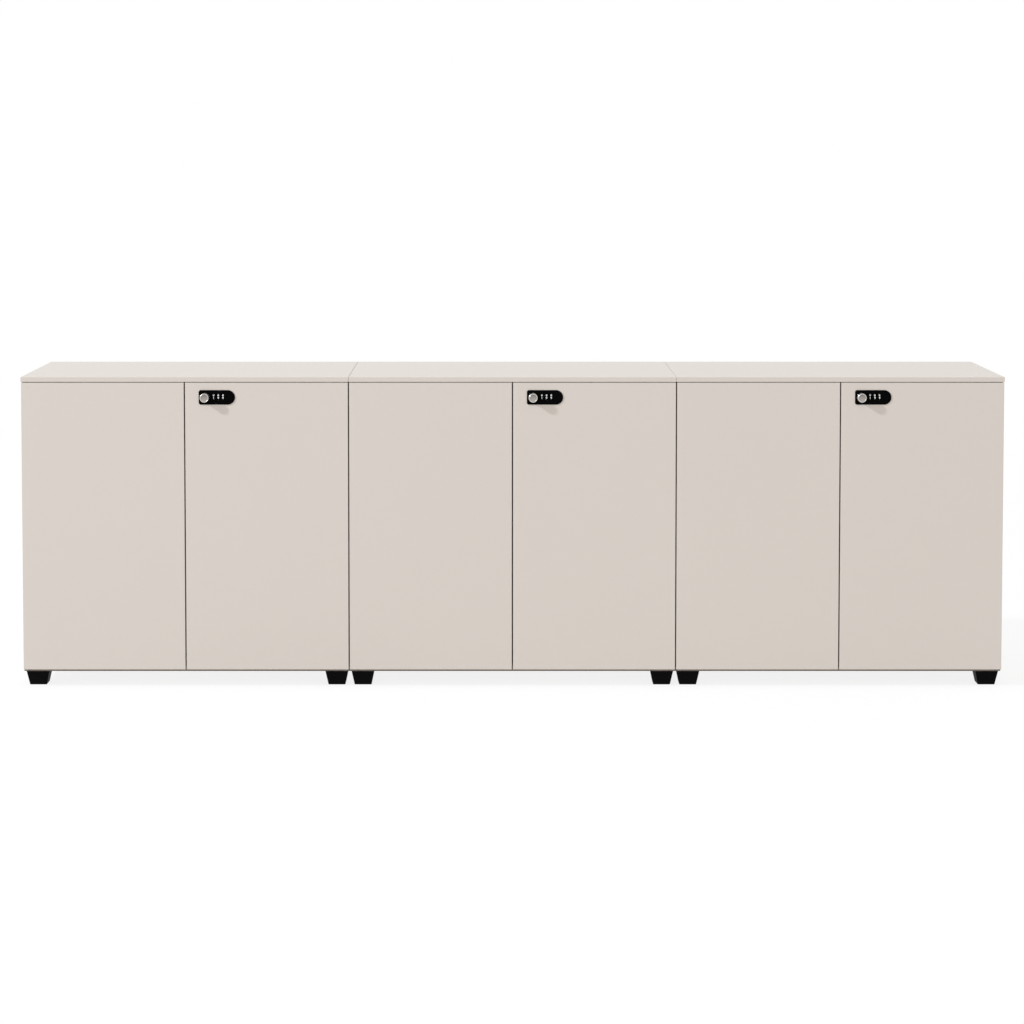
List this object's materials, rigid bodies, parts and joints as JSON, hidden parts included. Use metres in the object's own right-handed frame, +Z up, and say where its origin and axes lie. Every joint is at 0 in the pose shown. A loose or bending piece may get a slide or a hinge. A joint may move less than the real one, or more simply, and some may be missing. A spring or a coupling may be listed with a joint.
{
  "type": "office credenza",
  "caption": "Low row of melamine-faced two-door cupboards on tapered feet, with thin tops, one shelf each and a dial lock with a knob on each right door.",
  "frame": {"origin": "on the floor, under the middle of the box around the whole row, knobs included", "axes": "+X along the row to the right, +Y from the doors to the back, +Z up"},
  "size_m": [2.4, 0.47, 0.763],
  "materials": {
    "board": "melamine-faced chipboard, matt greige",
    "board_door": "melamine-faced door with banded edges, matt greige",
    "board_top": "melamine-faced thin top, matt greige",
    "foot_plastic": "black moulded plastic",
    "lock_black": "black moulded plastic",
    "knob_chrome": "satin chrome",
    "zinc_steel": "zinc-plated steel",
    "dark_steel": "dark zinc-plated steel",
    "clear_buffer": "clear soft buffer"
  },
  "bodies": {
    "carcass": {"feet": "foot_plastic", "foot_studs": "zinc_steel", "shelf_pegs": "zinc_steel", "joining_bolts": "zinc_steel", "top_rails": "board", "door_buffers": "clear_buffer", "lower_pivots": "dark_steel", "upper_pivots": "dark_steel", "lock_strikes": "zinc_steel", "unit1_top_panel": "board_top", "unit1_bottom_panel": "board", "unit1_back_panel": "board", "unit1_shelf": "board", "unit1_left_side": "board", "unit1_right_side": "board", "unit2_top_panel": "board_top", "unit2_bottom_panel": "board", "unit2_back_panel": "board", "unit2_shelf": "board", "unit2_left_side": "board", "unit2_right_side": "board", "unit3_top_panel": "board_top", "unit3_bottom_panel": "board", "unit3_back_panel": "board", "unit3_shelf": "board", "unit3_left_side": "board", "unit3_right_side": "board"},
    "unit1_left_door": {"unit1_left_door": "board_door", "unit1_left_door_leaves": "zinc_steel", "unit1_lock_keeper": "zinc_steel"},
    "unit1_right_door": {"unit1_right_door": "board_door", "unit1_right_door_leaves": "zinc_steel", "unit1_lock_housing": "lock_black"},
    "unit1_lock": {"unit1_lock_knob": "knob_chrome", "unit1_lock_cam": "zinc_steel"},
    "unit1_lock_dial_1": {"unit1_lock_dial_1": "lock_black"},
    "unit1_lock_dial_2": {"unit1_lock_dial_2": "lock_black"},
    "unit1_lock_dial_3": {"unit1_lock_dial_3": "lock_black"},
    "unit2_left_door": {"unit2_left_door": "board_door", "unit2_left_door_leaves": "zinc_steel", "unit2_lock_keeper": "zinc_steel"},
    "unit2_right_door": {"unit2_right_door": "board_door", "unit2_right_door_leaves": "zinc_steel", "unit2_lock_housing": "lock_black"},
    "unit2_lock": {"unit2_lock_knob": "knob_chrome", "unit2_lock_cam": "zinc_steel"},
    "unit2_lock_dial_1": {"unit2_lock_dial_1": "lock_black"},
    "unit2_lock_dial_2": {"unit2_lock_dial_2": "lock_black"},
    "unit2_lock_dial_3": {"unit2_lock_dial_3": "lock_black"},
    "unit3_left_door": {"unit3_left_door": "board_door", "unit3_left_door_leaves": "zinc_steel", "unit3_lock_keeper": "zinc_steel"},
    "unit3_right_door": {"unit3_right_door": "board_door", "unit3_right_door_leaves": "zinc_steel", "unit3_lock_housing": "lock_black"},
    "unit3_lock": {"unit3_lock_knob": "knob_chrome", "unit3_lock_cam": "zinc_steel"},
    "unit3_lock_dial_1": {"unit3_lock_dial_1": "lock_black"},
    "unit3_lock_dial_2": {"unit3_lock_dial_2": "lock_black"},
    "unit3_lock_dial_3": {"unit3_lock_dial_3": "lock_black"}
  },
  "joints": [
    {"name": "unit1_left_door_swing", "type": "hinge", "parent": "carcass", "child": "unit1_left_door", "pos_m": [-1.1935, -0.21, 0.3935], "axis": [0, 0, 1], "range_deg": [-110, 0]},
    {"name": "unit1_right_door_swing", "type": "hinge", "parent": "carcass", "child": "unit1_right_door", "pos_m": [-0.4065, -0.21, 0.3935], "axis": [0, 0, 1], "range_deg": [0, 110]},
    {"name": "unit1_lock_turn", "type": "hinge", "parent": "unit1_right_door", "child": "unit1_lock", "pos_m": [-0.75, -0.215, 0.7135], "axis": [0, 1, 0], "range_deg": [0, 90]},
    {"name": "unit1_lock_dial_1_spin", "type": "hinge", "parent": "unit1_right_door", "child": "unit1_lock_dial_1", "pos_m": [-0.7285, -0.2068, 0.7135], "axis": [1, 0, 0], "continuous": true},
    {"name": "unit1_lock_dial_2_spin", "type": "hinge", "parent": "unit1_right_door", "child": "unit1_lock_dial_2", "pos_m": [-0.7171, -0.2068, 0.7135], "axis": [1, 0, 0], "continuous": true},
    {"name": "unit1_lock_dial_3_spin", "type": "hinge", "parent": "unit1_right_door", "child": "unit1_lock_dial_3", "pos_m": [-0.7057, -0.2068, 0.7135], "axis": [1, 0, 0], "continuous": true},
    {"name": "unit2_left_door_swing", "type": "hinge", "parent": "carcass", "child": "unit2_left_door", "pos_m": [-0.3935, -0.21, 0.3935], "axis": [0, 0, 1], "range_deg": [-110, 0]},
    {"name": "unit2_right_door_swing", "type": "hinge", "parent": "carcass", "child": "unit2_right_door", "pos_m": [0.3935, -0.21, 0.3935], "axis": [0, 0, 1], "range_deg": [0, 110]},
    {"name": "unit2_lock_turn", "type": "hinge", "parent": "unit2_right_door", "child": "unit2_lock", "pos_m": [0.05, -0.215, 0.7135], "axis": [0, 1, 0], "range_deg": [0, 90]},
    {"name": "unit2_lock_dial_1_spin", "type": "hinge", "parent": "unit2_right_door", "child": "unit2_lock_dial_1", "pos_m": [0.0715, -0.2068, 0.7135], "axis": [1, 0, 0], "continuous": true},
    {"name": "unit2_lock_dial_2_spin", "type": "hinge", "parent": "unit2_right_door", "child": "unit2_lock_dial_2", "pos_m": [0.0829, -0.2068, 0.7135], "axis": [1, 0, 0], "continuous": true},
    {"name": "unit2_lock_dial_3_spin", "type": "hinge", "parent": "unit2_right_door", "child": "unit2_lock_dial_3", "pos_m": [0.0943, -0.2068, 0.7135], "axis": [1, 0, 0], "continuous": true},
    {"name": "unit3_left_door_swing", "type": "hinge", "parent": "carcass", "child": "unit3_left_door", "pos_m": [0.4065, -0.21, 0.3935], "axis": [0, 0, 1], "range_deg": [-110, 0]},
    {"name": "unit3_right_door_swing", "type": "hinge", "parent": "carcass", "child": "unit3_right_door", "pos_m": [1.1935, -0.21, 0.3935], "axis": [0, 0, 1], "range_deg": [0, 110]},
    {"name": "unit3_lock_turn", "type": "hinge", "parent": "unit3_right_door", "child": "unit3_lock", "pos_m": [0.85, -0.215, 0.7135], "axis": [0, 1, 0], "range_deg": [0, 90]},
    {"name": "unit3_lock_dial_1_spin", "type": "hinge", "parent": "unit3_right_door", "child": "unit3_lock_dial_1", "pos_m": [0.8715, -0.2068, 0.7135], "axis": [1, 0, 0], "continuous": true},
    {"name": "unit3_lock_dial_2_spin", "type": "hinge", "parent": "unit3_right_door", "child": "unit3_lock_dial_2", "pos_m": [0.8829, -0.2068, 0.7135], "axis": [1, 0, 0], "continuous": true},
    {"name": "unit3_lock_dial_3_spin", "type": "hinge", "parent": "unit3_right_door", "child": "unit3_lock_dial_3", "pos_m": [0.8943, -0.2068, 0.7135], "axis": [1, 0, 0], "continuous": true}
  ]
}
